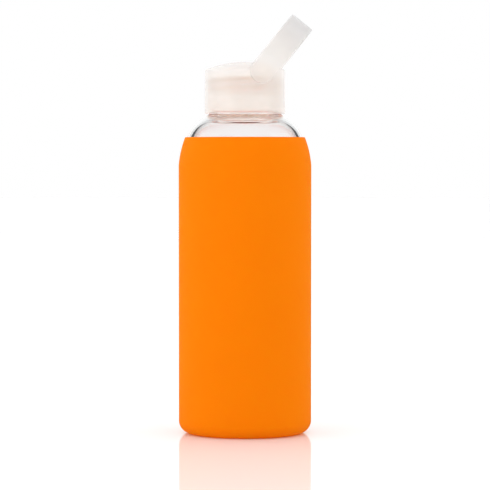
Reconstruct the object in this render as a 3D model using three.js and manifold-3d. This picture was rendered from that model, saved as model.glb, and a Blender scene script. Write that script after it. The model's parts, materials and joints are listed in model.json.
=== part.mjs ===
// A glass drinking bottle in a silicone sleeve, closed by a two-piece screw cap with a swinging carry loop.
// Millimetres, +Z up. The origin is the centre of the foot, on the surface that the bottle stands on.
// The carry loop swings about an axis along Y and stands tilted towards +X.
import * as THREE from "three";
import { mergeVertices } from "three/addons/utils/BufferGeometryUtils.js";
import Module from "manifold-3d";

const wasm = await Module();
wasm.setup();

// ---------------------------------------------------------------- driving dimensions, mm and degrees

// Gaps
const SEAT_GAP = 0.2; // between faces that rest on each other
const SLEEVE_GAP = 0.25; // between the glass and the sleeve stretched over it
const INSERT_GAP = 0.2; // between the cap's shell and its threaded insert, all round
const SWING_GAP = 0.3; // between the carry loop and the widest part of the cap

// Glass body
const GLASS_RADIUS = 33.6;
const GLASS_WALL = 2;
const GLASS_FLOOR = 5;
const WALL_HEIGHT = 142.9; // of the straight side, from the glass's foot to where the shoulder begins
const HEEL_RADIUS = 6;
const PUNT_RADIUS = 22; // of the hollow under the glass
const PUNT_RISE = 2.5;
const SHOULDER_SWEEP_RADIUS = 52; // the slow curve that starts the shoulder
const SHOULDER_SWEEP = 17.2;
const SHOULDER_TURN_RADIUS = 19; // the quicker curve that ends at the neck
const SHOULDER_NECK_WALL = 3; // the shoulder is thickest beside the neck

// Neck finish
const NECK_RADIUS = 17.4;
const NECK_WALL = 2.2;
const NECK_HEIGHT = 19.45; // from the foot of the ring to the rim
const RIM_ROUND = 0.9;
const BORE_ROUND = 3;
const RING_GAP = 0.5; // between the cap's shell and the ring round the root of the neck
const RING_FILLET = 0.4;
const RING_HEIGHT = 1;
const RING_ROUND = 0.7;
const NECK_FILLET = 0.6; // between the ring's top and the neck

// Screw thread
const THREAD_PITCH = 4.23;
const THREAD_TURNS = 1.5;
const THREAD_DEPTH = 1.2;
const THREAD_ROOT_WIDTH = 2.4;
const THREAD_CREST_WIDTH = 1;
const THREAD_TOP = 2; // from the rim down to the middle of the glass thread's upper end
const THREAD_FLANK_GAP = 0.3; // between the cap's thread and the glass thread above it
const THREAD_CREST_GAP = 0.5; // between a crest and the wall that it runs past
const THREAD_START = 54; // bearing of the glass thread's upper end
const THREAD_FADE = 30; // angle over which a thread's end dies away

// Sleeve
const SLEEVE_WALL = 2.15;
const SLEEVE_LIP_WALL = 0.9;
const SLEEVE_FLOOR = 2.4;
const SLEEVE_HEEL_RADIUS = 7;
const SLEEVE_COVER = 0.95; // share of the shoulder's slow curve that the sleeve covers
const FOOT_RECESS_RADIUS = 24;
const FOOT_RECESS = 0.8;

// Cap
const CAP_DRAFT = 0.2; // how much narrower the cap is under its dome
const SHELL_WALL = 1.4;
const INSERT_WALL = 0.95;
const SKIRT_RISE = 0.2; // of the shell's skirt above the foot of the ring
const INSERT_RECESS = 1.2; // how much shorter the insert's skirt is
const GASKET_THICKNESS = 1.2;
const DECK_THICKNESS = 1.2;
const DECK_HEADROOM = 0.3;
const DOME_EDGE_WALL = 1.4;
const DOME_RISE = 4.2;
const DOME_WALL = 2;
const DOME_CORNER = 1.6;
const PLUG_WALL = 1.2;
const PLUG_GAP = 1; // between the plug and the bore
const PLUG_DEPTH = 4.6;

// Carry loop
const LOOP_TILT = 51.3; // of the loop above the horizontal, leaning towards +X
const LOOP_WIDTH = 13.5;
const LOOP_THICKNESS = 2.2;
const LOOP_SLACK = 1; // between the loop's bend and the cap's far side when the loop lies flat, beyond SWING_GAP
const PIVOT_OFFSET = 9.45; // of the pivot from the bottle's axis
const PIVOT_DROP = 1.4; // of the pivot below the edge of the dome
const EAR_RADIUS = 5;
const EAR_THICKNESS = 3.4;
const PIN_RADIUS = 1.5;
const PIN_GAP = 0.15;
const PIN_IN_EAR = 2;
const PIN_IN_LEG = 1.3;
const PIN_END_GAP = 0.2;

// Fineness
const SEGMENTS = 40;

// ---------------------------------------------------------------- places worked out from the sizes

const GLASS_FOOT = SLEEVE_FLOOR + SEAT_GAP;
const SHOULDER_START = GLASS_FOOT + WALL_HEIGHT;
const BORE_RADIUS = NECK_RADIUS - NECK_WALL;
const THREAD_CREST = NECK_RADIUS + THREAD_DEPTH;
const INSERT_BORE = THREAD_CREST + THREAD_CREST_GAP;
const INSERT_RADIUS = INSERT_BORE + INSERT_WALL;
const SHELL_BORE = INSERT_RADIUS + INSERT_GAP;
const CAP_RADIUS = SHELL_BORE + SHELL_WALL + CAP_DRAFT;
const RING_RADIUS = SHELL_BORE - RING_GAP;
const NECK_PROFILE = shoulderProfile(0, 0, RING_RADIUS, RING_FILLET);
const RING_FOOT = NECK_PROFILE.root;
const RIM = RING_FOOT + NECK_HEIGHT;
const SLEEVE_RADIUS = GLASS_RADIUS + SLEEVE_GAP + SLEEVE_WALL;
const SKIRT_FOOT = RING_FOOT + SKIRT_RISE;
const GASKET_FOOT = RIM + SEAT_GAP;
const DECK_FOOT = GASKET_FOOT + GASKET_THICKNESS + SEAT_GAP;
const DECK_TOP = DECK_FOOT + DECK_THICKNESS;
const CAVITY_EDGE = DECK_TOP + DECK_HEADROOM;
const DOME_EDGE = CAVITY_EDGE + DOME_EDGE_WALL;
const DOME_TOP = DOME_EDGE + DOME_RISE;
const PLUG_RADIUS = BORE_RADIUS - PLUG_GAP;
const PIVOT = { x: PIVOT_OFFSET, z: DOME_EDGE - PIVOT_DROP };
const LOOP_BORE = CAP_RADIUS + SWING_GAP; // half the gap between the loop's legs
const EAR_FACE = CAP_RADIUS - SEAT_GAP / 2; // the flat outer face of each ear

// ---------------------------------------------------------------- outlines

function radians(degrees) {
  return THREE.MathUtils.degToRad(degrees);
}

// Points along an arc, ends included. Angles are in degrees, from the radial direction towards +Z.
function arc(radius, height, size, from, to, steps) {
  return Array.from({ length: steps + 1 }, (_, i) => {
    const angle = radians(from + ((to - from) * i) / steps);
    return [radius + size * Math.cos(angle), height + size * Math.sin(angle)];
  });
}

// The shoulder's two curves, moved inwards by wallLow and wallHigh, and the fillet that joins them to a ring
// or bore of the given radius.
function shoulderProfile(wallLow, wallHigh, neckRadius, fillet, steps = 3) {
  const sweep = radians(SHOULDER_SWEEP);
  const slowAxis = GLASS_RADIUS - SHOULDER_SWEEP_RADIUS;
  const spread = SHOULDER_SWEEP_RADIUS - SHOULDER_TURN_RADIUS;
  const turn = {
    radius: slowAxis + spread * Math.cos(sweep),
    height: SHOULDER_START + spread * Math.sin(sweep),
  };
  const turnSize = SHOULDER_TURN_RADIUS - wallHigh;
  const across = neckRadius + fillet - turn.radius;
  const up = Math.sqrt((turnSize + fillet) ** 2 - across ** 2);
  const meet = THREE.MathUtils.radToDeg(Math.atan2(up, across));
  const slow = arc(slowAxis, SHOULDER_START, SHOULDER_SWEEP_RADIUS - wallLow, 0, SHOULDER_SWEEP, steps);
  const quick = arc(turn.radius, turn.height, turnSize, SHOULDER_SWEEP, meet, 2 * steps);
  const root = turn.height + up;
  const corner = arc(neckRadius + fillet, root, fillet, meet - 180, -180, 3);
  return { slow, quick, corner, root };
}

// Turns a profile of [radius, height] points into a solid of revolution about Z.
function revolve(profile, segments = SEGMENTS) {
  const points = profile.map(([radius, height]) => new THREE.Vector2(Math.max(radius, 0), height));
  return new THREE.LatheGeometry(points, segments).rotateX(Math.PI / 2);
}

// ---------------------------------------------------------------- solids

function solidOf(geometry) {
  const bare = geometry.clone();
  bare.deleteAttribute("normal");
  bare.deleteAttribute("uv");
  const merged = mergeVertices(bare, 1e-4);
  return new wasm.Manifold(
    new wasm.Mesh({
      numProp: 3,
      vertProperties: new Float32Array(merged.attributes.position.array),
      triVerts: new Uint32Array(merged.index.array),
    }),
  );
}

function geometryOf(solid) {
  const mesh = solid.getMesh();
  const geometry = new THREE.BufferGeometry();
  geometry.setAttribute("position", new THREE.BufferAttribute(mesh.vertProperties, 3));
  geometry.setIndex(new THREE.BufferAttribute(mesh.triVerts, 1));
  geometry.computeVertexNormals();
  return geometry;
}

// A round bar along Y, centred on x and z.
function crossBar(radius, from, to, segments = 24) {
  const bar = new THREE.CylinderGeometry(radius, radius, to - from, segments);
  return bar.translate(PIVOT.x, (from + to) / 2, PIVOT.z);
}

// One helical ridge. wall is the radius of the wall it stands on and crest that of its top, and it dies
// away at both ends. top is the height of its middle at its upper end, and start that end's bearing.
function threadRidge(wall, crest, top, start) {
  const side = Math.sign(crest - wall);
  const buried = wall - side * 0.3;
  const steps = Math.round(THREAD_TURNS * SEGMENTS);
  const corners = 4;
  const positions = [];
  const indices = [];
  for (let i = 0; i <= steps; i++) {
    const along = i / steps;
    const turned = 360 * THREAD_TURNS * along;
    const left = 360 * THREAD_TURNS - turned;
    const full = Math.min(1, Math.min(turned, left) / THREAD_FADE);
    const height = THREAD_DEPTH * (0.05 + 0.95 * Math.sin((full * Math.PI) / 2));
    const radius = wall + side * Math.min(height, Math.abs(crest - wall));
    const bearing = radians(start - turned);
    const middle = top - THREAD_PITCH * THREAD_TURNS * along;
    const section = [
      [buried, -THREAD_ROOT_WIDTH / 2],
      [radius, -THREAD_CREST_WIDTH / 2],
      [radius, THREAD_CREST_WIDTH / 2],
      [buried, THREAD_ROOT_WIDTH / 2],
    ];
    for (const [r, z] of section) {
      positions.push(r * Math.cos(bearing), r * Math.sin(bearing), middle + z);
    }
  }
  const quad = (a, b, c, d) => indices.push(a, b, c, a, c, d);
  for (let i = 0; i < steps; i++) {
    for (let j = 0; j < corners; j++) {
      const a = i * corners + j;
      const b = i * corners + ((j + 1) % corners);
      quad(a, a + corners, b + corners, b);
    }
  }
  const last = steps * corners;
  quad(0, 1, 2, 3);
  quad(last + 3, last + 2, last + 1, last);
  if (side > 0) indices.reverse();
  const geometry = new THREE.BufferGeometry();
  geometry.setAttribute("position", new THREE.Float32BufferAttribute(positions, 3));
  geometry.setIndex(indices);
  return geometry;
}

// ---------------------------------------------------------------- glass bottle

function glassBottle() {
  const floorTop = GLASS_FOOT + GLASS_FLOOR;
  const puntSize = (PUNT_RADIUS ** 2 + PUNT_RISE ** 2) / (2 * PUNT_RISE);
  const puntAngle = THREE.MathUtils.radToDeg(Math.asin(PUNT_RADIUS / puntSize));
  const punt = arc(0, GLASS_FOOT + PUNT_RISE - puntSize, puntSize, 90, 90 - puntAngle, 3);
  const heel = arc(GLASS_RADIUS - HEEL_RADIUS, GLASS_FOOT + HEEL_RADIUS, HEEL_RADIUS, -90, 0, 4);
  const ringTop = RING_FOOT + RING_HEIGHT;
  const ring = arc(RING_RADIUS - RING_ROUND, ringTop - RING_ROUND, RING_ROUND, 0, 90, 2);
  const root = arc(NECK_RADIUS + NECK_FILLET, ringTop + NECK_FILLET, NECK_FILLET, -90, -180, 2);
  const rimOut = arc(NECK_RADIUS - RIM_ROUND, RIM - RIM_ROUND, RIM_ROUND, 0, 90, 2);
  const rimIn = arc(BORE_RADIUS + RIM_ROUND, RIM - RIM_ROUND, RIM_ROUND, 90, 180, 2);
  const inside = shoulderProfile(GLASS_WALL, SHOULDER_NECK_WALL, BORE_RADIUS, BORE_ROUND, 3);
  const innerHeel = HEEL_RADIUS - GLASS_WALL / 2;
  const innerRadius = GLASS_RADIUS - GLASS_WALL;
  const floor = arc(innerRadius - innerHeel, floorTop + innerHeel, innerHeel, 0, -90, 3);
  const outline = [
    ...punt,
    ...heel,
    ...NECK_PROFILE.slow,
    ...NECK_PROFILE.quick.slice(1),
    ...NECK_PROFILE.corner.slice(1),
    ...ring,
    ...root,
    ...rimOut,
    ...rimIn,
    ...inside.corner.reverse(),
    ...inside.quick.reverse().slice(1),
    ...inside.slow.reverse(),
    ...floor,
    [0, floorTop],
  ];
  const body = solidOf(revolve(outline));
  const ridge = threadRidge(NECK_RADIUS, THREAD_CREST, RIM - THREAD_TOP, THREAD_START);
  return geometryOf(body.add(solidOf(ridge)));
}

// ---------------------------------------------------------------- silicone sleeve

// The sleeve follows the glass's outside a gap away. Its wall thins evenly up the shoulder to the lip.
function siliconeSleeve() {
  const slowAxis = GLASS_RADIUS - SHOULDER_SWEEP_RADIUS;
  const lipAngle = SHOULDER_SWEEP * SLEEVE_COVER;
  const steps = 3;
  const inner = arc(slowAxis, SHOULDER_START, SHOULDER_SWEEP_RADIUS + SLEEVE_GAP, 0, lipAngle, steps);
  const outer = inner.map(([radius, height], i) => {
    const angle = radians((lipAngle * i) / steps);
    const wall = THREE.MathUtils.lerp(SLEEVE_WALL, SLEEVE_LIP_WALL, i / steps);
    return [radius + wall * Math.cos(angle), height + wall * Math.sin(angle)];
  });
  const lipRound = SLEEVE_LIP_WALL / 2;
  const lipMiddle = SHOULDER_SWEEP_RADIUS + SLEEVE_GAP + lipRound;
  const [lip] = arc(slowAxis, SHOULDER_START, lipMiddle, lipAngle, lipAngle, 1);
  const lipArc = arc(lip[0], lip[1], lipRound, lipAngle, lipAngle + 180, 4).slice(1, -1);
  const heelIn = HEEL_RADIUS + SLEEVE_GAP;
  const innerHeel = arc(GLASS_RADIUS - HEEL_RADIUS, SLEEVE_FLOOR + heelIn, heelIn, 0, -90, 4);
  const heelAxis = SLEEVE_RADIUS - SLEEVE_HEEL_RADIUS;
  const outerHeel = arc(heelAxis, SLEEVE_HEEL_RADIUS, SLEEVE_HEEL_RADIUS, -90, 0, 5);
  const outline = [
    [0, FOOT_RECESS],
    [FOOT_RECESS_RADIUS, FOOT_RECESS],
    [FOOT_RECESS_RADIUS + FOOT_RECESS, 0],
    ...outerHeel,
    ...outer,
    ...lipArc,
    ...inner.reverse(),
    ...innerHeel,
    [0, SLEEVE_FLOOR],
  ];
  return revolve(outline);
}

// ---------------------------------------------------------------- cap

// The radius of the sphere whose cap of the given rise spans the given edge radius.
function domeSize(edge, rise) {
  return (edge ** 2 + rise ** 2) / (2 * rise);
}

// A dome from its edge to its top, on the axis.
function dome(edge, height, rise, from, steps) {
  const size = domeSize(edge, rise);
  const edgeAngle = THREE.MathUtils.radToDeg(Math.acos(from / size));
  return arc(0, height + rise - size, size, edgeAngle, 90, steps);
}

function capShell() {
  const topRadius = CAP_RADIUS - CAP_DRAFT;
  const outside = [
    [0, SKIRT_FOOT],
    [CAP_RADIUS, SKIRT_FOOT],
    ...arc(topRadius - DOME_CORNER, DOME_EDGE - DOME_CORNER * 0.8, DOME_CORNER, 0, 60, 3),
    ...dome(topRadius, DOME_EDGE, DOME_RISE, topRadius - DOME_CORNER * 0.8, 5),
  ];
  const cavityRise = DOME_TOP - DOME_WALL - CAVITY_EDGE;
  const cavity = [
    [0, SKIRT_FOOT - 1],
    [SHELL_BORE, SKIRT_FOOT - 1],
    ...dome(SHELL_BORE, CAVITY_EDGE, cavityRise, SHELL_BORE, 5),
  ];
  let shell = solidOf(revolve(outside));
  for (const side of [-1, 1]) {
    const faces = [side * (EAR_FACE - EAR_THICKNESS), side * EAR_FACE].sort((a, b) => a - b);
    shell = shell.add(solidOf(crossBar(EAR_RADIUS, ...faces)));
  }
  shell = shell.subtract(solidOf(revolve(cavity)));
  for (const side of [-1, 1]) {
    const depth = PIN_IN_EAR + PIN_END_GAP;
    const ends = [side * (EAR_FACE - depth), side * (EAR_FACE + 1)].sort((a, b) => a - b);
    shell = shell.subtract(solidOf(crossBar(PIN_RADIUS + PIN_GAP, ...ends)));
  }
  return geometryOf(shell);
}

function capInsert() {
  const plugFoot = DECK_FOOT - PLUG_DEPTH;
  const foot = SKIRT_FOOT + INSERT_RECESS;
  const outline = [
    [0, DECK_FOOT],
    [PLUG_RADIUS - PLUG_WALL, DECK_FOOT],
    [PLUG_RADIUS - PLUG_WALL, plugFoot],
    [PLUG_RADIUS - PLUG_WALL / 2, plugFoot],
    [PLUG_RADIUS, plugFoot + PLUG_WALL / 2],
    [PLUG_RADIUS, DECK_FOOT],
    [INSERT_BORE, DECK_FOOT],
    [INSERT_BORE, foot],
    [INSERT_RADIUS, foot],
    [INSERT_RADIUS, DECK_TOP],
    [0, DECK_TOP],
  ];
  const body = solidOf(revolve(outline));
  const crest = NECK_RADIUS + THREAD_CREST_GAP;
  const flank = (THREAD_ROOT_WIDTH - THREAD_CREST_WIDTH) / 2;
  const overlap = (THREAD_CREST - crest) / THREAD_DEPTH;
  const drop = THREAD_CREST_WIDTH + flank * overlap + THREAD_FLANK_GAP;
  const ridge = threadRidge(INSERT_BORE, crest, RIM - THREAD_TOP - drop + THREAD_PITCH / 2, THREAD_START + 180);
  return geometryOf(body.add(solidOf(ridge)));
}

function sealingGasket() {
  const inner = PLUG_RADIUS + SEAT_GAP;
  const outer = INSERT_BORE - SEAT_GAP;
  const top = GASKET_FOOT + GASKET_THICKNESS;
  const outline = [
    [inner, GASKET_FOOT],
    [outer, GASKET_FOOT],
    [outer, top],
    [inner, top],
    [inner, GASKET_FOOT],
  ];
  return revolve(outline);
}

// ---------------------------------------------------------------- carry loop and its pins

// The loop is a flat band bent round the cap. It is drawn folded flat about its pivot, with its legs along +X.
function carryLoop() {
  const half = LOOP_WIDTH / 2;
  const outer = LOOP_BORE + LOOP_THICKNESS;
  const bend = PIVOT_OFFSET + LOOP_SLACK;
  const band = new THREE.Shape();
  band.moveTo(-half, -outer);
  band.lineTo(bend, -outer);
  band.absarc(bend, 0, outer, -Math.PI / 2, Math.PI / 2, false);
  band.lineTo(-half, outer);
  band.lineTo(-half, LOOP_BORE);
  band.lineTo(bend, LOOP_BORE);
  band.absarc(bend, 0, LOOP_BORE, Math.PI / 2, -Math.PI / 2, true);
  band.lineTo(-half, -LOOP_BORE);
  band.closePath();
  const strip = new THREE.ExtrudeGeometry(band, { depth: LOOP_WIDTH, bevelEnabled: false, curveSegments: 20 });
  strip.translate(0, 0, -half);

  const side = new THREE.Shape();
  side.absarc(0, 0, half, Math.PI / 2, (3 * Math.PI) / 2, false);
  side.lineTo(bend + outer + 1, -half);
  side.lineTo(bend + outer + 1, half);
  side.closePath();
  const cut = new THREE.ExtrudeGeometry(side, { depth: 2 * outer + 2, bevelEnabled: false, curveSegments: 12 });
  cut.translate(0, 0, -outer - 1);
  cut.rotateX(Math.PI / 2);

  let loop = solidOf(strip).intersect(solidOf(cut));
  for (const way of [-1, 1]) {
    const depth = PIN_IN_LEG + PIN_END_GAP;
    const hole = new THREE.CylinderGeometry(PIN_RADIUS + PIN_GAP, PIN_RADIUS + PIN_GAP, depth + 1, 24);
    hole.translate(0, way * (LOOP_BORE + (depth - 1) / 2), 0);
    loop = loop.subtract(solidOf(hole));
  }
  return geometryOf(loop);
}

function pivotPin(way) {
  const ends = [way * (EAR_FACE - PIN_IN_EAR), way * (LOOP_BORE + PIN_IN_LEG)].sort((a, b) => a - b);
  return crossBar(PIN_RADIUS, ...ends, 20);
}

// ---------------------------------------------------------------- the bottle

const glass = new THREE.MeshStandardMaterial({ color: 0xf4f8f8, roughness: 0.02, metalness: 0, transparent: true });
glass.opacity = 0.3;
const silicone = new THREE.MeshStandardMaterial({ color: 0xf87c02, roughness: 0.6, metalness: 0 });
const frosted = new THREE.MeshStandardMaterial({ color: 0xf1e7e0, roughness: 0.45, metalness: 0 });
const frostedLoop = new THREE.MeshStandardMaterial({ color: 0xededeb, roughness: 0.45, metalness: 0 });
const softSeal = new THREE.MeshStandardMaterial({ color: 0xf3f1ee, roughness: 0.7, metalness: 0 });

const bottle = new THREE.Group();

function place(name, geometry, material, parent = bottle) {
  const mesh = new THREE.Mesh(geometry, material);
  mesh.name = name;
  parent.add(mesh);
}

place("glass_bottle", glassBottle(), glass);
place("silicone_sleeve", siliconeSleeve(), silicone);
place("cap_shell", capShell(), frosted);
place("cap_insert", capInsert(), frosted);
place("sealing_gasket", sealingGasket(), softSeal);
place("pivot_pin_front", pivotPin(-1), frosted);
place("pivot_pin_back", pivotPin(1), frosted);

const swing = new THREE.Group();
swing.position.set(PIVOT.x, 0, PIVOT.z);
swing.rotation.y = -radians(LOOP_TILT);
bottle.add(swing);
place("carry_loop", carryLoop(), frostedLoop, swing);

export default bottle;
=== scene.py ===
"""Dresses a packed drinking bottle: glass, silicone sleeve, frosted screw cap and swinging carry loop.

Every length is in metres. The bottle stands at the origin with +Z up, and its carry loop swings about an
axis along Y. Each operator below builds one piece, or one group of like pieces, at the place that its solid
has in the frame.
"""

import json
import math

import bmesh
import bpy
from bpy.props import FloatProperty, FloatVectorProperty, IntProperty, PointerProperty
from bpy.types import Operator, Panel, PropertyGroup
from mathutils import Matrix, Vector


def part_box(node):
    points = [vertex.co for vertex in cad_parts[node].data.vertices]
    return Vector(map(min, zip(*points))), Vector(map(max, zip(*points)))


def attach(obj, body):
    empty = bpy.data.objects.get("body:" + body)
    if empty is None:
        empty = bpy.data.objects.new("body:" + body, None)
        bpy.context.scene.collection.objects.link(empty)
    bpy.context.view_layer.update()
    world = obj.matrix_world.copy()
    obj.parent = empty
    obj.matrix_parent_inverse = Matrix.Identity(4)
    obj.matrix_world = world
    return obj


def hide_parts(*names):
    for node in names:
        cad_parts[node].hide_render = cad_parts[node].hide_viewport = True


bl_info = {
    "name": "Sleeved Glass Bottle",
    "version": (1, 0, 0),
    "blender": (4, 5, 0),
    "location": "3D View > Sidebar > Bottle",
    "description": "Builds the glass, sleeve, cap and carry loop of a drinking bottle round its frame",
    "category": "Add Mesh",
}

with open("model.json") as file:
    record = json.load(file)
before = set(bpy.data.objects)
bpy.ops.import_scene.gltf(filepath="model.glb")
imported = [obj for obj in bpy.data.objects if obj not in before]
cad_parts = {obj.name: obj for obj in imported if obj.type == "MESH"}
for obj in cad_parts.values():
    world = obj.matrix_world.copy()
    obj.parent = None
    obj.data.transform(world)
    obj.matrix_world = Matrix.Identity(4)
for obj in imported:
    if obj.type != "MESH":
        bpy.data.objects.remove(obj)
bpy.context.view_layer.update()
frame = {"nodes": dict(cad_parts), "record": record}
MM = 0.001


def span(node):
    """The outer radius, lowest and highest point of a round node, in metres."""
    low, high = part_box(node)
    return high[1], low[2], high[2]


JOINTS = {joint["name"]: joint for joint in frame["record"]["behaviour"]["joints"]}
PIVOT = Vector(JOINTS["loop_swing"]["pos_m"])
GLASS_RADIUS, GLASS_FOOT, RIM = span("glass_bottle")
SLEEVE_RADIUS, SLEEVE_FOOT, _ = span("silicone_sleeve")
CAP_RADIUS, SKIRT_FOOT, DOME_TOP = span("cap_shell")
INSERT_RADIUS, INSERT_FOOT, DECK_TOP = span("cap_insert")
GASKET_RADIUS, GASKET_FOOT, GASKET_TOP = span("sealing_gasket")
LOOP_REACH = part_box("carry_loop")[1][1]  # from the bottle's axis to the outside of each leg

# The curves of the shoulder, which the glass and the sleeve share
SHOULDER_START = 145.5 * MM
SWEEP_RADIUS = 52 * MM
SWEEP = 17.2  # degrees of the slow curve
TURN_RADIUS = 19 * MM

GLASS_HEEL = 6.0 * MM  # radius of the glass's bottom corner
SLEEVE_GAP = 0.25 * MM  # between the glass and the sleeve
SMALL_ROUND = 0.25 * MM  # on the thin edges of the shell and the liner

# The screw thread
PITCH = 4.23 * MM
TURNS = 1.5
THREAD_DEPTH = 1.2 * MM
THREAD_ROOT = 2.4 * MM
THREAD_CREST = 1.0 * MM
THREAD_TOP = 2.0 * MM
THREAD_START = 54.0  # bearing of the glass thread's upper end
THREAD_FADE = 30.0
NECK_RADIUS = 17.4 * MM
BORE_RADIUS = 15.2 * MM
INSERT_BORE = 19.1 * MM
INSERT_CREST = 17.9 * MM
THREAD_DROP = 1.71 * MM  # of the liner's thread under the glass thread that it bears on
LINER_START = THREAD_START + 180  # bearing of the liner thread's upper end

# The ears and the pins of the loop
PIN_EYE = 1.65 * MM  # radius of the holes that take a pin
EAR_DEPTH = 3.4 * MM
EAR_EDGE = 0.3 * MM
EYE_DEPTH = 2.2 * MM
REACH = 1.0 * MM  # of a cutting tool past the wall that it cuts

# The frosted plastic of each piece: how much one face covers and how much of the rest it bends
SHELL_FROST = {"cover": 0.3, "passing": 0.2}
LINER_FROST = {"cover": 0.4, "passing": 0.8, "rough": 0.03}
PIN_FROST = {"cover": 0.65, "passing": 0.12}
LOOP_FROST = {"cover": 0.97, "passing": 0.5}
EAR_COVER = 0.3  # of the loop beside its pivot

# The light
WHITE = (1.0, 1.0, 1.0, 1.0)
CEILING = 0.4  # brightness overhead
SOFT_LIGHT = 1.35  # brightness of the surroundings for soft light
LAMPS = (
    ("key_light", (-1.9, -0.9, 0.6), 0.9, 9.0),  # name, place, size and power
    ("fill_light", (1.7, -0.7, 0.5), 0.7, 3.0),
)
BOUNCES, SOFT_BOUNCES = 40, 12


# ---------------------------------------------------------------- sizes and colours


class GlassSettings(PropertyGroup):
    """Sizes and finish of the glass bottle."""

    wall: FloatProperty(
        name="Wall", description="Thickness of the straight wall", default=2.0 * MM, unit="LENGTH"
    )
    shoulder_wall: FloatProperty(
        name="Shoulder Wall", description="Thickness beside the neck", default=3.0 * MM, unit="LENGTH"
    )
    floor: FloatProperty(name="Floor", description="Thickness of the floor", default=5.0 * MM, unit="LENGTH")
    tint: FloatVectorProperty(
        name="Tint", description="Colour of the glass", default=(0.985, 0.995, 0.995), subtype="COLOR"
    )
    ior: FloatProperty(name="Refraction", description="Index of refraction", default=1.5, min=1.0, max=2.0)


class SleeveSettings(PropertyGroup):
    """Sizes and finish of the silicone sleeve."""

    wall: FloatProperty(name="Wall", description="Thickness of the wall", default=2.15 * MM, unit="LENGTH")
    lip_wall: FloatProperty(name="Lip", description="Thickness at the lip", default=0.9 * MM, unit="LENGTH")
    heel: FloatProperty(
        name="Heel", description="Radius of the bottom corner", default=7.0 * MM, unit="LENGTH"
    )
    colour: FloatVectorProperty(
        name="Colour", description="Colour of the silicone", default=(0.79, 0.184, 0.0004), subtype="COLOR"
    )
    deep_colour: FloatVectorProperty(
        name="Deep Colour",
        description="Colour of the denser patches",
        default=(0.77, 0.173, 0.0002),
        subtype="COLOR",
    )


class CapSettings(PropertyGroup):
    """Sizes and finish of the screw cap and its gasket, with a line of painted shade along the liner's
    thread.
    """

    wall: FloatProperty(name="Wall", description="Thickness of the skirt", default=1.4 * MM, unit="LENGTH")
    dome_rise: FloatProperty(
        name="Dome", description="Rise of the domed top", default=4.2 * MM, unit="LENGTH"
    )
    corner: FloatProperty(
        name="Corner", description="Round between skirt and dome", default=1.6 * MM, unit="LENGTH"
    )
    ear: FloatProperty(name="Ear", description="Radius of each ear", default=5.0 * MM, unit="LENGTH")
    colour: FloatVectorProperty(
        name="Colour",
        description="Colour of the frosted plastic",
        default=(0.935, 0.89, 0.85),
        subtype="COLOR",
    )
    # A darker, warmer line painted along the liner's thread crest: painted shade of the thread seen through
    # the shell.
    thread_shade_colour: FloatVectorProperty(
        name="Thread Colour",
        description="Colour along the liner's thread",
        default=(0.78, 0.58, 0.42),
        subtype="COLOR",
    )
    seal_colour: FloatVectorProperty(
        name="Seal Colour", description="Colour of the gasket", default=(0.9, 0.88, 0.85), subtype="COLOR"
    )


class LoopSettings(PropertyGroup):
    """Sizes and finish of the carry loop, with painted shade darkening its band towards the bend."""

    width: FloatProperty(name="Width", description="Width of the band", default=13.5 * MM, unit="LENGTH")
    thickness: FloatProperty(
        name="Thickness", description="Thickness of the band", default=2.2 * MM, unit="LENGTH"
    )
    edge: FloatProperty(name="Edge", description="Round along the edges", default=0.5 * MM, unit="LENGTH")
    slack: FloatProperty(
        name="Slack", description="Extra room at the bend when it lies flat", default=1.0 * MM, unit="LENGTH"
    )
    tilt: FloatProperty(
        name="Tilt", description="Lean above the horizontal", default=math.radians(51.3), unit="ROTATION"
    )
    # The band's colour is darker than the plastic as painted shade of its bend; beside the pivot it eases to
    # the lighter, warmer ear colour.
    colour: FloatVectorProperty(
        name="Colour", description="Colour of the band", default=(0.72, 0.72, 0.725), subtype="COLOR"
    )
    ear_colour: FloatVectorProperty(
        name="Ear Colour",
        description="Colour beside the pivot",
        default=(0.86, 0.815, 0.775),
        subtype="COLOR",
    )


class StageSettings(PropertyGroup):
    """The floor, the light and the camera."""

    brightness: FloatProperty(
        name="Brightness", description="Brightness of the backdrop", default=1.0, min=0.0
    )
    distance: FloatProperty(
        name="Distance", description="From the camera to the bottle's axis", default=1.337, unit="LENGTH"
    )
    height: FloatProperty(name="Height", description="Height of the camera", default=0.150, unit="LENGTH")
    pitch: FloatProperty(
        name="Pitch",
        description="How far the camera looks down",
        default=math.radians(2.045),
        unit="ROTATION",
    )
    lens: FloatProperty(name="Lens", description="Focal length", default=180.9, unit="CAMERA")
    segments: IntProperty(name="Segments", description="Facets round each piece", default=144, min=24)


# ---------------------------------------------------------------- outlines


def arc(radius, height, size, start, end, steps):
    """Points along an arc, ends included. Angles are in degrees from the radial direction towards +Z."""
    points = []
    for step in range(steps + 1):
        angle = math.radians(start + (end - start) * step / steps)
        points.append((radius + size * math.cos(angle), height + size * math.sin(angle)))
    return points


def rows(radius, low, high, spacing):
    """Points up a straight wall, without its two ends."""
    count = max(2, round(abs(high - low) / spacing))
    return [(radius, low + (high - low) * i / count) for i in range(1, count)]


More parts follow.
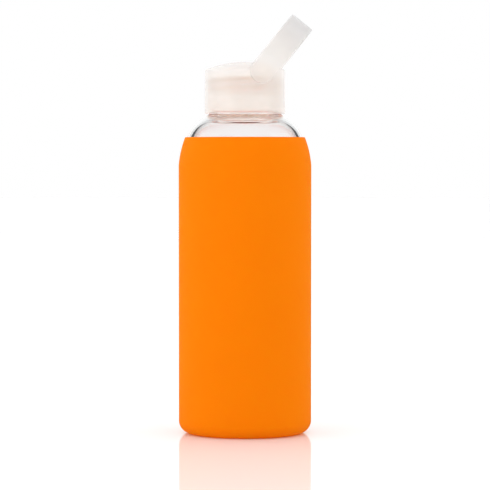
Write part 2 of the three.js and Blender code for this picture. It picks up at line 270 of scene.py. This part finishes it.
def shoulder(wall_low, wall_high, edge, fillet):
    """The shoulder's two curves, set inwards by a growing wall, then the fillet up to a wall at edge."""
    sweep = math.radians(SWEEP)
    slow_axis = GLASS_RADIUS - SWEEP_RADIUS
    spread = SWEEP_RADIUS - TURN_RADIUS
    turn_radius = slow_axis + spread * math.cos(sweep)
    turn_height = SHOULDER_START + spread * math.sin(sweep)
    slow = []
    steps = 18
    for step in range(steps + 1):
        share = step / steps
        size = SWEEP_RADIUS - (wall_low + (wall_high - wall_low) * share * share * (3 - 2 * share))
        slow += arc(slow_axis, SHOULDER_START, size, SWEEP * share, SWEEP * share, 1)[:1]
    size = TURN_RADIUS - wall_high
    across = edge + fillet - turn_radius
    up = math.sqrt((size + fillet) ** 2 - across**2)
    meet = math.degrees(math.atan2(up, across))
    quick = arc(turn_radius, turn_height, size, SWEEP, meet, 36)
    corner = arc(edge + fillet, turn_height + up, fillet, meet - 180, -180, 8)
    return slow + quick[1:] + corner[1:]


def ridge(bearing, height, top, start):
    """How far a helical ridge stands out at this place, from 0 to 1."""
    tallest = 0.0
    for lap in range(3):
        turned = (start - bearing) % 360 + 360 * lap
        left = 360 * TURNS - turned
        if left <= 0:
            continue
        middle = top - PITCH * turned / 360
        off = abs(height - middle)
        flank = (THREAD_ROOT / 2 - off) / ((THREAD_ROOT - THREAD_CREST) / 2)
        flank = min(1.0, max(0.0, flank))
        fade = math.sin(min(1.0, turned / THREAD_FADE, left / THREAD_FADE) * math.pi / 2)
        tallest = max(tallest, flank * flank * (3 - 2 * flank) * fade)
    return tallest


# ---------------------------------------------------------------- meshes


def piece(name, mesh_data, slot, body, *nodes):
    """Puts a finished mesh into the scene in place of its solids."""
    thing = bpy.data.objects.new(name, mesh_data)
    bpy.context.scene.collection.objects.link(thing)
    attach(thing, body)
    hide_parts(*nodes)
    return thing


def closed_mesh(name, work, sharp=40.0):
    """Turns bmesh work into a smooth-shaded mesh that keeps its sharp edges."""
    bmesh.ops.recalc_face_normals(work, faces=work.faces)
    made = bpy.data.meshes.new(name)
    work.to_mesh(made)
    work.free()
    made.shade_smooth()
    made.set_sharp_from_angle(angle=math.radians(sharp))
    return made


def revolve(outline, segments, shape=None):
    """A solid of revolution as bmesh work. shape(radius, height, bearing) may move a point in or out."""
    work = bmesh.new()
    rings = []
    for radius, height in outline:
        if radius < 1e-7:
            rings.append([work.verts.new((0, 0, height))])
            continue
        ring = []
        for i in range(segments):
            bearing = 360 * i / segments
            out = shape(radius, height, bearing) if shape else radius
            turn = math.radians(bearing)
            ring.append(work.verts.new((out * math.cos(turn), out * math.sin(turn), height)))
        rings.append(ring)
    closes = len(rings[0]) > 1
    for k in range(len(rings) if closes else len(rings) - 1):
        low, high = rings[k], rings[(k + 1) % len(rings)]
        for i in range(segments):
            j = (i + 1) % segments
            corners = [low[i % len(low)], low[j % len(low)], high[j % len(high)], high[i % len(high)]]
            work.faces.new(list(dict.fromkeys(corners)))
    return work


def round_bar(radius, low, high, segments=64, edge=0.0):
    """A bar along Y through the loop's pivot, with a small round at each end."""
    outline = [(0, low)]
    if edge:
        outline += arc(radius - edge, low + edge, edge, -90, 0, 5)
        outline += arc(radius - edge, high - edge, edge, 0, 90, 5)
    else:
        outline += [(radius, low), (radius, high)]
    outline.append((0, high))
    work = revolve(outline, segments)
    for corner in work.verts:
        x, y, z = corner.co
        corner.co = (PIVOT.x + x, z, PIVOT.z + y)
    return work


def cut(target, tool_work, operation):
    """Joins or cuts a mesh object with bmesh work."""
    tool = bpy.data.objects.new("tool", closed_mesh("tool", tool_work))
    bpy.context.scene.collection.objects.link(tool)
    step = target.modifiers.new("cut", "BOOLEAN")
    step.operation = operation
    step.solver = "EXACT"
    step.object = tool
    bpy.context.view_layer.update()
    result = bpy.data.meshes.new_from_object(target.evaluated_get(bpy.context.evaluated_depsgraph_get()))
    target.modifiers.clear()
    target.data = result
    bpy.data.objects.remove(tool)


# ---------------------------------------------------------------- materials


class Wire:
    """A socket of a node tree. Arithmetic between values adds Math nodes."""

    def __init__(self, tree, socket):
        self.tree = tree
        self.socket = socket

    def maths(self, operation, *others):
        """A Math node of this value and the others."""
        made = self.tree.nodes.new("ShaderNodeMath")
        made.operation = operation
        for entry, value in zip(made.inputs, (self, *others)):
            feed(self.tree, entry, value)
        return Wire(self.tree, made.outputs[0])

    def __add__(self, other):
        return self.maths("ADD", other)

    __radd__ = __add__

    def __sub__(self, other):
        return self.maths("SUBTRACT", other)

    def __rsub__(self, other):
        return self.maths("MULTIPLY_ADD", -1.0, other)

    def __mul__(self, other):
        return self.maths("MULTIPLY", other)

    __rmul__ = __mul__

    def __truediv__(self, other):
        return self.maths("DIVIDE", other)

    def __pow__(self, other):
        return self.maths("POWER", other)

    def __abs__(self):
        return self.maths("ABSOLUTE")


def feed(tree, entry, value):
    """Links a wire to a socket, or sets the socket's own value."""
    if isinstance(value, Wire):
        tree.links.new(value.socket, entry)
    else:
        entry.default_value = value


class Recipe:
    """The node tree of one material or of the world, while it is being made."""

    def __init__(self, owner):
        owner.use_nodes = True
        self.owner = owner
        self.tree = owner.node_tree
        self.tree.nodes.clear()

    def add(self, kind, settings=None, inputs=None, output=0):
        """Adds a node, sets it, feeds its sockets and gives one of its outputs."""
        made = self.tree.nodes.new(kind)
        for key, value in (settings or {}).items():
            setattr(made, key, value)
        for key, value in (inputs or {}).items():
            feed(self.tree, made.inputs[key], value)
        return Wire(self.tree, made.outputs[output]) if made.outputs else None

    def place(self):
        """Where a point is on its piece."""
        return self.add("ShaderNodeTexCoord", output="Object")

    def noise(self, size, detail=3.0, roughness=0.5):
        """Cloudy values from 0 to 1 with blotches of about this size."""
        shape = {"Vector": self.place(), "Scale": 1 / size, "Detail": detail, "Roughness": roughness}
        return self.add("ShaderNodeTexNoise", inputs=shape)

    def mix(self, mask, low, high):
        """A colour between low and high."""
        return self.add("ShaderNodeMix", {"data_type": "RGBA"}, {0: mask, 6: low, 7: high}, output=2)

    def split(self, vector):
        """The three parts of a vector."""
        first = self.add("ShaderNodeSeparateXYZ", inputs={0: vector})
        return [Wire(self.tree, out) for out in first.socket.node.outputs]

    def ramp(self, value, low, high, start=0.0, end=1.0):
        """Eases from start to end while the value goes from low to high."""
        return self.add(
            "ShaderNodeMapRange",
            {"interpolation_type": "SMOOTHSTEP"},
            {"Value": value, "From Min": low, "From Max": high, "To Min": start, "To Max": end},
        )

    def away(self, centre, near, far):
        """From 0 within near of an axis along Y through a centre to 1 beyond far of it."""
        east, _, up = self.split(self.place())
        off_east, off_up = east - centre.x, up - centre.z
        return self.ramp((off_east * off_east + off_up * off_up) ** 0.5, near, far)

    def crest(self, top):
        """1 along the crest of the thread whose upper end is at this height, and 0 away from it."""
        east, north, up = self.split(self.place())
        bearing = north.maths("ARCTAN2", east) / (2 * math.pi)
        lap = (up - top) / PITCH - bearing + LINER_START / 360
        off = abs((lap + 0.5).maths("FRACT") - 0.5) * PITCH
        line = self.ramp(off, 0.15 * MM, 0.55 * MM, 1.0, 0.0)
        middle = top - TURNS * PITCH / 2
        return line * self.ramp(abs(up - middle), TURNS * PITCH * 0.55, TURNS * PITCH * 0.75, 1.0, 0.0)

    def bump(self, height, distance, strength=1.0):
        """A normal tilted by a height map whose full depth is distance."""
        return self.add(
            "ShaderNodeBump", inputs={"Strength": strength, "Distance": distance, "Height": height}
        )

    def surface(self, passes=0.0, tint=(1.0, 1.0, 1.0), **inputs):
        """A Principled surface, whose sockets are named here with _ for spaces.

        passes is the share of soft light that goes straight through it, tinted, to whatever it covers.
        """
        named = {key.replace("_", " "): value for key, value in inputs.items()}
        shader = self.add("ShaderNodeBsdfPrincipled", inputs=named)
        if passes:
            soft = self.add("ShaderNodeLightPath", output="Is Shadow Ray")
            soft = soft.maths("MAXIMUM", self.add("ShaderNodeLightPath", output="Is Diffuse Ray"))
            clear = self.add("ShaderNodeBsdfTransparent", inputs={"Color": opaque(tint)})
            shader = self.add("ShaderNodeMixShader", inputs={0: soft * passes, 1: shader, 2: clear})
        self.add("ShaderNodeOutputMaterial", inputs={"Surface": shader})
        return self.owner


def opaque(colour):
    """A colour with the alpha that colour sockets expect."""
    return (*colour, 1.0)


def clear_glass(settings):
    """Clear pressed glass: almost perfectly smooth, with the slow waves that moulding leaves."""
    recipe = Recipe(bpy.data.materials.new("clear_glass"))
    waves = recipe.noise(14 * MM, detail=1.0)
    film = recipe.noise(5 * MM, detail=4.0)
    return recipe.surface(
        passes=1.0,
        Base_Color=opaque(settings.tint),
        Roughness=film * 0.02,
        IOR=settings.ior,
        Transmission_Weight=1.0,
        Normal=recipe.bump(waves, 0.05 * MM, 0.35),
    )


def orange_silicone(settings):
    """Matte moulded silicone: a fine blasted grain, faint clouding and a soft bloom."""
    recipe = Recipe(bpy.data.materials.new("orange_silicone"))
    clouds = recipe.noise(38 * MM, detail=2.0)
    bloom = recipe.noise(9 * MM, detail=5.0, roughness=0.6)
    grain = recipe.noise(0.35 * MM, detail=2.0)
    return recipe.surface(
        passes=0.6,
        tint=(1.0, 0.8, 0.15),
        Base_Color=recipe.mix(clouds, opaque(settings.deep_colour), opaque(settings.colour)),
        Roughness=0.62 + bloom * 0.16,
        IOR=1.41,
        Subsurface_Weight=0.25,
        Subsurface_Radius=(1.0, 0.25, 0.05),
        Subsurface_Scale=2.0 * MM,
        Specular_IOR_Level=0.04,
        Normal=recipe.bump(grain, 0.03 * MM, 0.6),
    )


def frosted_plastic(name, colour, cover, passing, rough=0.3, ends=None, threads=None):
    """Frosted, translucent moulded plastic with a fine spark-eroded texture.

    cover is how much of what lies behind one face it hides, and passing how much of the rest it bends.
    ends gives the lighter, warmer colour and the cover that it has beside the loop's pivot; from there the
    colour darkens towards the bend as painted shade.
    threads gives the colour of a painted shade line along the crest of its thread, and the height of the
    thread's upper end.
    """
    recipe = Recipe(bpy.data.materials.new(name))
    clouds = recipe.noise(11 * MM, detail=3.0)
    grain = recipe.noise(0.3 * MM, detail=2.0)
    dim = tuple(0.98 * part for part in colour)
    base = recipe.mix(clouds, opaque(dim), opaque(colour))
    # Painted shade: the colour darkens from the lighter ear colour beside the pivot to the band's colour
    # towards the bend, while the cover rises.
    if ends:
        end_colour, end_cover = ends
        away = recipe.away(PIVOT, 3.0 * MM, 42.0 * MM)
        base = recipe.mix(away, opaque(end_colour), base)
        cover = end_cover + away * (cover - end_cover)
    # Painted shade: a darker, warmer line along the thread's crest, which also hides more of what lies
    # behind.
    if threads:
        crest_shade_colour, top = threads
        line = recipe.crest(top)
        base = recipe.mix(line, base, opaque(crest_shade_colour))
        cover = cover + line * (0.9 - cover)
    return recipe.surface(
        passes=0.6,
        Base_Color=base,
        Roughness=rough + clouds * 0.12,
        IOR=1.4,
        Transmission_Weight=passing,
        Specular_IOR_Level=0.3,
        Alpha=cover,
        Normal=recipe.bump(grain, 0.02 * MM, 0.5),
    )


def seal_silicone(settings):
    """Milky silicone with a slightly satin skin."""
    recipe = Recipe(bpy.data.materials.new("seal_silicone"))
    clouds = recipe.noise(3 * MM, detail=3.0)
    dim = tuple(0.93 * part for part in settings.seal_colour)
    return recipe.surface(
        Base_Color=recipe.mix(clouds, opaque(dim), opaque(settings.seal_colour)),
        Roughness=0.5 + clouds * 0.15,
        Subsurface_Weight=0.3,
        Subsurface_Radius=(1.0, 0.9, 0.8),
        Subsurface_Scale=1.0 * MM,
    )


def glossy_floor():
    """White acrylic sheet that mirrors what stands on it at a low angle."""
    recipe = Recipe(bpy.data.materials.new("glossy_floor"))
    smear = recipe.noise(60 * MM, detail=2.0)
    return recipe.surface(
        Base_Color=(0.92, 0.92, 0.92, 1.0),
        Roughness=0.06 + smear * 0.04,
        IOR=1.25,
    )


def studio_world(brightness):
    """White surroundings with a dim ceiling and a dark strip at each corner, which line the glass's edges.

    The camera sees them plain white, and soft light finds them a little brighter still.
    """
    world = bpy.data.worlds.new("studio")
    recipe = Recipe(world)
    east, north, up = recipe.split(recipe.add("ShaderNodeTexCoord", output="Generated"))
    slant = abs(east * north) / (east * east + north * north) * 2.0
    strips = recipe.ramp(slant, 0.82, 0.88, 1.0, 0.0)
    walls = strips.maths("MAXIMUM", recipe.ramp(up, 0.06, 0.2, 1.0, 0.0))
    overhead = recipe.ramp(up, 0.3, 0.8)
    glow = walls * (1.0 - overhead) + overhead * CEILING
    soft = recipe.add("ShaderNodeLightPath", output="Is Diffuse Ray")
    glow = glow.maths("MAXIMUM", soft * SOFT_LIGHT)
    shade = recipe.add("ShaderNodeBackground", inputs={"Color": WHITE, "Strength": glow})
    plain = recipe.add("ShaderNodeBackground", inputs={"Color": WHITE, "Strength": brightness})
    seen = recipe.add("ShaderNodeLightPath", output="Is Camera Ray")
    both = recipe.add("ShaderNodeMixShader", inputs={0: seen, 1: shade, 2: plain})
    recipe.add("ShaderNodeOutputWorld", inputs={"Surface": both})
    return world


# ---------------------------------------------------------------- operators


class BOTTLE_OT_glass(Operator):
    """Blow the glass bottle with its ring, neck and thread"""

    bl_idname = "bottle.glass"
    bl_label = "Glass Bottle"

    def execute(self, context):
        settings = context.scene.bottle_glass
        heel = GLASS_HEEL
        punt_radius, punt_rise = 22.0 * MM, 2.5 * MM
        punt_size = (punt_radius**2 + punt_rise**2) / (2 * punt_rise)
        punt_angle = math.degrees(math.asin(punt_radius / punt_size))
        ring_radius = CAP_RADIUS - 2.1 * MM
        outside = shoulder(0, 0, ring_radius, 0.4 * MM)
        ring_top = outside[-1][1] + 1.0 * MM
        rim_round, ring_round, root, bore_round = 0.9 * MM, 0.7 * MM, 0.6 * MM, 1.5 * MM
        inner = GLASS_RADIUS - settings.wall
        inner_heel = heel - settings.wall / 2
        floor_top = GLASS_FOOT + settings.floor
        neck_foot = ring_top + root
        inside = shoulder(settings.wall, settings.shoulder_wall, BORE_RADIUS, bore_round)
        outline = arc(0, GLASS_FOOT + punt_rise - punt_size, punt_size, 90, 90 - punt_angle, 10)
        outline += arc(GLASS_RADIUS - heel, GLASS_FOOT + heel, heel, -90, 0, 14)
        outline += rows(GLASS_RADIUS, GLASS_FOOT + heel, SHOULDER_START, 12 * MM)
        outline += outside
        outline += arc(ring_radius - ring_round, ring_top - ring_round, ring_round, 0, 90, 8)
        outline += arc(NECK_RADIUS + root, neck_foot, root, -90, -180, 6)
        outline += rows(NECK_RADIUS, neck_foot, RIM - rim_round, 0.2 * MM)
        outline += arc(NECK_RADIUS - rim_round, RIM - rim_round, rim_round, 0, 90, 8)
        outline += arc(BORE_RADIUS + rim_round, RIM - rim_round, rim_round, 90, 180, 8)
        outline += rows(BORE_RADIUS, RIM - rim_round, inside[-1][1], 3 * MM)
        outline += inside[::-1]
        outline += rows(inner, SHOULDER_START, floor_top + inner_heel, 12 * MM)
        outline += arc(inner - inner_heel, floor_top + inner_heel, inner_heel, 0, -90, 12)
        outline.append((0, floor_top))

        def thread(radius, height, bearing):
            if height < neck_foot or abs(radius - NECK_RADIUS) > 1e-6:
                return radius
            return radius + THREAD_DEPTH * ridge(bearing, height, RIM - THREAD_TOP, THREAD_START)

        work = revolve(outline, context.scene.bottle_stage.segments, thread)
        made = piece("glass", closed_mesh("glass", work, 60), "clear_glass", "bottle", "glass_bottle")
        made.data.materials.append(clear_glass(settings))
        return {"FINISHED"}


class BOTTLE_OT_sleeve(Operator):
    """Stretch the silicone sleeve over the glass"""

    bl_idname = "bottle.sleeve"
    bl_label = "Silicone Sleeve"

    def execute(self, context):
        settings = context.scene.bottle_sleeve
        axis = GLASS_RADIUS - SWEEP_RADIUS
        inner_curve = SWEEP_RADIUS + SLEEVE_GAP
        lip_angle = SWEEP * 0.95
        lip_round = settings.lip_wall / 2
        floor = 2.4 * MM
        recess, recess_radius, recess_round = 0.8 * MM, 24.0 * MM, 0.4 * MM
        foot_radius = SLEEVE_RADIUS - settings.heel
        steps = 24
        inner = arc(axis, SHOULDER_START, inner_curve, 0, lip_angle, steps)
        outer = []
        for step, (radius, height) in enumerate(inner):
            share = step / steps
            angle = math.radians(lip_angle * share)
            wall = settings.wall + (settings.lip_wall - settings.wall) * share
            outer.append((radius + wall * math.cos(angle), height + wall * math.sin(angle)))
        lip = arc(axis, SHOULDER_START, inner_curve + lip_round, lip_angle, lip_angle, 1)[0]
        lip_arc = arc(*lip, lip_round, lip_angle, lip_angle + 180, 12)[1:-1]
        inner_heel = GLASS_HEEL + SLEEVE_GAP
        outline = [(0, recess), (recess_radius - 1 * MM, recess)]
        outline += arc(recess_radius - recess_round, recess - recess_round, recess_round, 90, 45, 4)
        outline += [(recess_radius + recess, SLEEVE_FOOT), (foot_radius - 0.5 * MM, SLEEVE_FOOT)]
        outline += arc(foot_radius, SLEEVE_FOOT + settings.heel, settings.heel, -90, 0, 18)
        outline += rows(SLEEVE_RADIUS, SLEEVE_FOOT + settings.heel, SHOULDER_START, 6 * MM)
        outline += outer + lip_arc + inner[::-1]
        outline += rows(GLASS_RADIUS + SLEEVE_GAP, SHOULDER_START, floor + inner_heel, 12 * MM)
        outline += arc(GLASS_RADIUS - GLASS_HEEL, floor + inner_heel, inner_heel, 0, -90, 12)
        outline.append((0, floor))
        work = revolve(outline, context.scene.bottle_stage.segments)
        made = piece("sleeve", closed_mesh("sleeve", work), "orange_silicone", "bottle", "silicone_sleeve")
        made.data.materials.append(orange_silicone(settings))
        return {"FINISHED"}


class BOTTLE_OT_cap_shell(Operator):
    """Mould the cap's frosted outer shell with its two ears"""

    bl_idname = "bottle.cap_shell"
    bl_label = "Cap Shell"

    def execute(self, context):
        settings = context.scene.bottle_cap
        segments = context.scene.bottle_stage.segments
        top_radius = CAP_RADIUS - 0.2 * MM
        bore = top_radius - settings.wall
        dome_size = (top_radius**2 + settings.dome_rise**2) / (2 * settings.dome_rise)
        dome_axis = DOME_TOP - dome_size
        corner = settings.corner
        # the round is tangent to both the skirt and the dome
        corner_radius = top_radius - corner
        corner_height = dome_axis + math.sqrt((dome_size - corner) ** 2 - corner_radius**2)
        meet = math.degrees(math.atan2(corner_height - dome_axis, corner_radius))
        outline = [(0, SKIRT_FOOT)]
        outline += arc(CAP_RADIUS - SMALL_ROUND, SKIRT_FOOT + SMALL_ROUND, SMALL_ROUND, -90, 0, 5)
        outline += arc(corner_radius, corner_height, corner, 0, meet, 10)
        outline += arc(0, dome_axis, dome_size, meet, 90, 20)[1:]
        outside = closed_mesh("cap_shell", revolve(outline, segments))
        made = piece("cap", outside, "frosted_plastic", "cap", "cap_shell")
        face = CAP_RADIUS - 0.1 * MM
        for low, high in ((-face, -face + EAR_DEPTH), (face - EAR_DEPTH, face)):
            cut(made, round_bar(settings.ear, low, high, 96, EAR_EDGE), "UNION")
        cavity_edge = DECK_TOP + 0.3 * MM
        cavity_rise = DOME_TOP - 2.0 * MM - cavity_edge
        cavity_size = (bore**2 + cavity_rise**2) / (2 * cavity_rise)
        cavity_angle = math.degrees(math.acos(bore / cavity_size))
        hollow = [(0, SKIRT_FOOT - REACH), (bore, SKIRT_FOOT - REACH)]
        hollow += arc(0, cavity_edge + cavity_rise - cavity_size, cavity_size, cavity_angle, 90, 16)
        cut(made, revolve(hollow, segments), "DIFFERENCE")
        for low, high in ((-face - REACH, -face + EYE_DEPTH), (face - EYE_DEPTH, face + REACH)):
            cut(made, round_bar(PIN_EYE, low, high, 32), "DIFFERENCE")
        made.data.shade_smooth()
        made.data.set_sharp_from_angle(angle=math.radians(28))
        made.data.materials.clear()
        made.data.materials.append(frosted_plastic("frosted_plastic", settings.colour, **SHELL_FROST))
        return {"FINISHED"}


class BOTTLE_OT_cap_insert(Operator):
    """Mould the threaded liner with its deck and plug ring, and the gasket under the deck"""

    bl_idname = "bottle.cap_insert"
    bl_label = "Cap Liner and Gasket"

    def execute(self, context):
        settings = context.scene.bottle_cap
        segments = context.scene.bottle_stage.segments
        plug_radius = BORE_RADIUS - 1.0 * MM
        plug_wall, plug_depth, lead_in = 1.2 * MM, 4.6 * MM, 0.6 * MM
        deck = DECK_TOP - 1.2 * MM
        plug_foot = deck - plug_depth
        small = SMALL_ROUND
        outline = [(0, deck)]
        outline += [(plug_radius - plug_wall, deck)]
        outline += arc(plug_radius - plug_wall + small, plug_foot + small, small, 180, 270, 4)
        outline += arc(plug_radius - lead_in, plug_foot + lead_in, lead_in, -90, 0, 6)
        outline += [(plug_radius, deck), (INSERT_BORE, deck)]
        outline += rows(INSERT_BORE, deck, INSERT_FOOT + small, 0.2 * MM)
        outline += arc(INSERT_BORE + small, INSERT_FOOT + small, small, 180, 270, 4)
        outline += arc(INSERT_RADIUS - small, INSERT_FOOT + small, small, -90, 0, 4)
        outline += rows(INSERT_RADIUS, INSERT_FOOT + small, DECK_TOP - small, 3 * MM)
        outline += arc(INSERT_RADIUS - small, DECK_TOP - small, small, 0, 90, 4)
        outline.append((0, DECK_TOP))
        top = RIM - THREAD_TOP - THREAD_DROP + PITCH / 2

        def thread(radius, height, bearing):
            if height > deck - 0.1 * MM or abs(radius - INSERT_BORE) > 1e-6:
                return radius
            return radius - (INSERT_BORE - INSERT_CREST) * ridge(bearing, height, top, LINER_START)

        work = revolve(outline, segments, thread)
        made = piece("cap_liner", closed_mesh("cap_liner", work), "frosted_plastic", "cap", "cap_insert")
        # The liner gets a line of painted shade along its thread's crest.
        threads = (settings.thread_shade_colour, top)
        finish = frosted_plastic("liner_plastic", settings.colour, **LINER_FROST, threads=threads)
        made.data.materials.append(finish)

        inside = plug_radius + 0.2 * MM
        seal_round = 0.35 * MM
        outline = arc(GASKET_RADIUS - seal_round, GASKET_FOOT + seal_round, seal_round, -90, 0, 5)
        outline += arc(GASKET_RADIUS - seal_round, GASKET_TOP - seal_round, seal_round, 0, 90, 5)
        outline += arc(inside + seal_round, GASKET_TOP - seal_round, seal_round, 90, 180, 5)
        outline += arc(inside + seal_round, GASKET_FOOT + seal_round, seal_round, 180, 270, 5)
        seal = closed_mesh("gasket", revolve(outline, segments))
        gasket = piece("gasket", seal, "seal_silicone", "seal", "sealing_gasket")
        gasket.data.materials.append(seal_silicone(settings))
        return {"FINISHED"}


class BOTTLE_OT_pins(Operator):
    """Give the two pivot pins their moulded finish"""

    bl_idname = "bottle.pins"
    bl_label = "Pivot Pins"

    def execute(self, context):
        finish = frosted_plastic("pin_plastic", context.scene.bottle_cap.colour, **PIN_FROST)
        for node in ("pivot_pin_front", "pivot_pin_back"):
            pin = frame["nodes"][node]
            for entry in pin.material_slots:
                entry.material = finish
        return {"FINISHED"}


class BOTTLE_OT_loop(Operator):
    """Bend the carry loop from a flat strip with rounded ends and edges"""

    bl_idname = "bottle.loop"
    bl_label = "Carry Loop"

    def execute(self, context):
        settings = context.scene.bottle_loop
        half = settings.width / 2
        thick = settings.thickness
        middle = LOOP_REACH - thick / 2
        straight = PIVOT.x + settings.slack
        length = 2 * straight + math.pi * middle

        def strip_loop(inset, out):
            """One ring of points round the flat strip: along it, across it and out of it."""
            size = half - inset
            ring = []
            for step in range(25):
                angle = math.radians(180 - 90 * step / 24)
                ring.append((size * math.cos(angle), size * math.sin(angle), out))
            for step in range(1, 80):
                ring.append((length * step / 80, size, out))
            for step in range(25):
                angle = math.radians(90 - 90 * step / 24)
                ring.append((length + size * math.cos(angle), size * math.sin(angle), out))
            return ring + [(along, -across, out) for along, across, out in ring[-2:0:-1]]

        def bend(along, across, out):
            """Bends a point of the strip round the cap and leans it."""
            reach = middle + out
            turn = (along - straight) / middle
            if turn < 0:
                far, side = along, -reach
            elif turn <= math.pi:
                far, side = straight + reach * math.sin(turn), -reach * math.cos(turn)
            else:
                far, side = straight - (along - straight - math.pi * middle), reach
            lean = settings.tilt
            return PIVOT + Vector(
                (
                    far * math.cos(lean) - across * math.sin(lean),
                    side,
                    far * math.sin(lean) + across * math.cos(lean),
                )
            )

        section = []
        for step in range(7):
            angle = math.radians(90 * step / 6)
            inset = settings.edge * (1 - math.sin(angle))
            section.append((inset, thick / 2 - settings.edge * (1 - math.cos(angle))))
        section += [(inset, -out) for inset, out in reversed(section)]
        work = bmesh.new()
        rings = [[work.verts.new(bend(*spot)) for spot in strip_loop(inset, out)] for inset, out in section]
        count = len(rings[0])
        for low, high in zip(rings, rings[1:]):
            for i in range(count):
                j = (i + 1) % count
                work.faces.new((low[i], low[j], high[j], high[i]))
        for ring in (rings[0], rings[-1]):
            for i in range(count // 2):
                corners = [ring[i], ring[i + 1], ring[(count - i - 1) % count], ring[(count - i) % count]]
                work.faces.new(list(dict.fromkeys(corners)))
        made = piece("loop", closed_mesh("loop", work), "loop_plastic", "loop", "carry_loop")
        inner = LOOP_REACH - thick
        eye_depth = 1.5 * MM
        for low, high in ((-inner - eye_depth, -inner + REACH), (inner - REACH, inner + eye_depth)):
            cut(made, round_bar(PIN_EYE, low, high, 32), "DIFFERENCE")
        made.data.shade_smooth()
        made.data.set_sharp_from_angle(angle=math.radians(40))
        made.data.materials.clear()
        # The band's colour darkens from the pivot towards the bend as painted shade.
        ends = (settings.ear_colour, EAR_COVER)
        made.data.materials.append(frosted_plastic("loop_plastic", settings.colour, **LOOP_FROST, ends=ends))
        return {"FINISHED"}


class BOTTLE_OT_stage(Operator):
    """Lay the floor, hang the lights and set up the camera"""

    bl_idname = "bottle.stage"
    bl_label = "Stage"

    def execute(self, context):
        settings = context.scene.bottle_stage
        scene = context.scene
        work = bmesh.new()
        bmesh.ops.create_grid(work, x_segments=8, y_segments=8, size=8)  # sixteen metres across
        sheet = bpy.data.meshes.new("floor")
        work.to_mesh(sheet)
        work.free()
        floor = bpy.data.objects.new("floor", sheet)
        scene.collection.objects.link(floor)
        floor.data.materials.append(glossy_floor())

        scene.world = studio_world(settings.brightness)

        for name, place, size, power in LAMPS:
            lamp = bpy.data.lights.new(name, "AREA")
            lamp.shape = "SQUARE"
            lamp.size = size
            lamp.energy = power
            light = bpy.data.objects.new(name, lamp)
            light.location = place
            light.rotation_mode = "QUATERNION"
            light.rotation_quaternion = (Vector((0, 0, 0.1)) - Vector(place)).to_track_quat("-Z", "Y")
            scene.collection.objects.link(light)

        lens = bpy.data.cameras.new("camera")
        lens.lens = settings.lens
        lens.sensor_width = 36
        lens.clip_start, lens.clip_end = 0.05, 50
        camera = bpy.data.objects.new("camera", lens)
        camera.location = (0, -settings.distance, settings.height)
        camera.rotation_euler = (math.radians(90) - settings.pitch, 0, 0)
        scene.collection.objects.link(camera)
        scene.camera = camera
        scene.view_settings.view_transform = "Standard"
        # light that enters the thick glass round the neck turns many times before it leaves
        cycles = scene.cycles
        cycles.max_bounces = cycles.transmission_bounces = cycles.glossy_bounces = BOUNCES
        cycles.diffuse_bounces, cycles.transparent_max_bounces = SOFT_BOUNCES, BOUNCES
        return {"FINISHED"}


class BOTTLE_PT_panel(Panel):
    """Lists the bottle's pieces and their settings"""

    bl_label = "Sleeved Glass Bottle"
    bl_idname = "BOTTLE_PT_panel"
    bl_space_type = "VIEW_3D"
    bl_region_type = "UI"
    bl_category = "Bottle"

    def draw(self, context):
        for operator, owner in STEPS:
            box = self.layout.box()
            box.operator(operator.bl_idname)
            if owner:
                settings = getattr(context.scene, owner)
                for key in settings.__annotations__:
                    box.prop(settings, key)


STEPS = (
    (BOTTLE_OT_glass, "bottle_glass"),
    (BOTTLE_OT_sleeve, "bottle_sleeve"),
    (BOTTLE_OT_cap_shell, "bottle_cap"),
    (BOTTLE_OT_cap_insert, None),
    (BOTTLE_OT_pins, None),
    (BOTTLE_OT_loop, "bottle_loop"),
    (BOTTLE_OT_stage, "bottle_stage"),
)
GROUPS = {
    "bottle_glass": GlassSettings,
    "bottle_sleeve": SleeveSettings,
    "bottle_cap": CapSettings,
    "bottle_loop": LoopSettings,
    "bottle_stage": StageSettings,
}


def register():
    for owner, group in GROUPS.items():
        bpy.utils.register_class(group)
        setattr(bpy.types.Scene, owner, PointerProperty(type=group))
    for operator, _ in STEPS:
        bpy.utils.register_class(operator)
    bpy.utils.register_class(BOTTLE_PT_panel)


def unregister():
    bpy.utils.unregister_class(BOTTLE_PT_panel)
    for operator, _ in reversed(STEPS):
        bpy.utils.unregister_class(operator)
    for owner, group in GROUPS.items():
        delattr(bpy.types.Scene, owner)
        bpy.utils.unregister_class(group)


def main():
    """Builds every piece."""
    register()
    for operator, _ in STEPS:
        group, name = operator.bl_idname.split(".")
        getattr(getattr(bpy.ops, group), name)()


if __name__ == "__main__":
    main()
